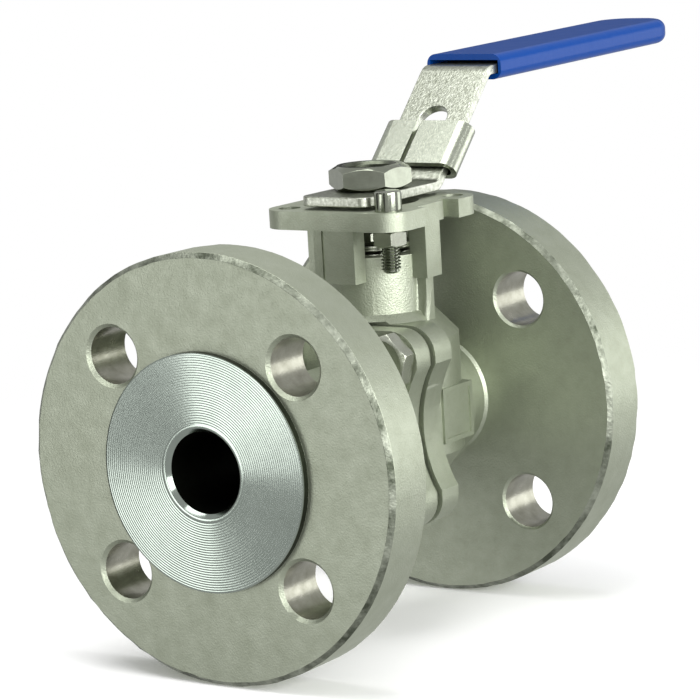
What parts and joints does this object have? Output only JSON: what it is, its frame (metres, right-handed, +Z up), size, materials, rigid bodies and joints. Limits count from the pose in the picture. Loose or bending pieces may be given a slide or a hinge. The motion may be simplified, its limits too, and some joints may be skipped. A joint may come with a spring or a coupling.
{
  "type": "flanged ball valve",
  "caption": "Flanged ball valve with a straight through bore, raised pipe faces, an actuator pad on legs, and a bent hand lever with a dipped grip and a sliding lock plate.",
  "frame": {"origin": "centre of the ball, where the flow bore's axis meets the stem's axis", "axes": "+X along the flow bore towards the outlet flange and the lever's open direction, +Z up the stem, +Y to the left of the lever"},
  "size_m": [0.2218, 0.105, 0.1411],
  "materials": {
    "cast_stainless": "pickled sand casting, matt",
    "machined_stainless": "turned, bright",
    "polished_stainless": "polished",
    "sheet_stainless": "brushed sheet",
    "tumbled_stainless": "tumbled strip",
    "ptfe": "white seat plastic",
    "seal_rubber": "moulded",
    "blue_vinyl": "dipped, glossy"
  },
  "bodies": {
    "valve_body": {"body": "cast_stainless", "end_cap": "cast_stainless", "body_gasket": "ptfe", "seat_inlet": "ptfe", "seat_outlet": "ptfe", "thrust_washer": "ptfe", "packing_ring_1": "ptfe", "packing_ring_2": "ptfe", "packing_ring_3": "ptfe", "gland": "machined_stainless", "joint_bolt_1": "machined_stainless", "joint_bolt_2": "machined_stainless", "joint_bolt_3": "machined_stainless", "joint_bolt_4": "machined_stainless", "stop_pin": "polished_stainless", "stop_pin_nut": "machined_stainless"},
    "lever_and_stem": {"ball": "polished_stainless", "stem": "machined_stainless", "antistatic_spring": "machined_stainless", "antistatic_ball": "polished_stainless", "stem_ring": "seal_rubber", "spring_washer_1": "machined_stainless", "spring_washer_2": "machined_stainless", "tab_washer": "sheet_stainless", "gland_nut": "machined_stainless", "lever": "tumbled_stainless", "lever_nut": "polished_stainless", "grip": "blue_vinyl"},
    "lock": {"lock_plate": "sheet_stainless"}
  },
  "joints": [
    {"name": "lever_turn", "type": "hinge", "parent": "valve_body", "child": "lever_and_stem", "pos_m": [0, 0, 0], "axis": [0, 0, 1], "range_deg": [-90, 0]},
    {"name": "lock_slide", "type": "slide", "parent": "lever_and_stem", "child": "lock", "axis": [0.7071, 0, 0.7071], "range_m": [-0.0022, 0.008]}
  ]
}
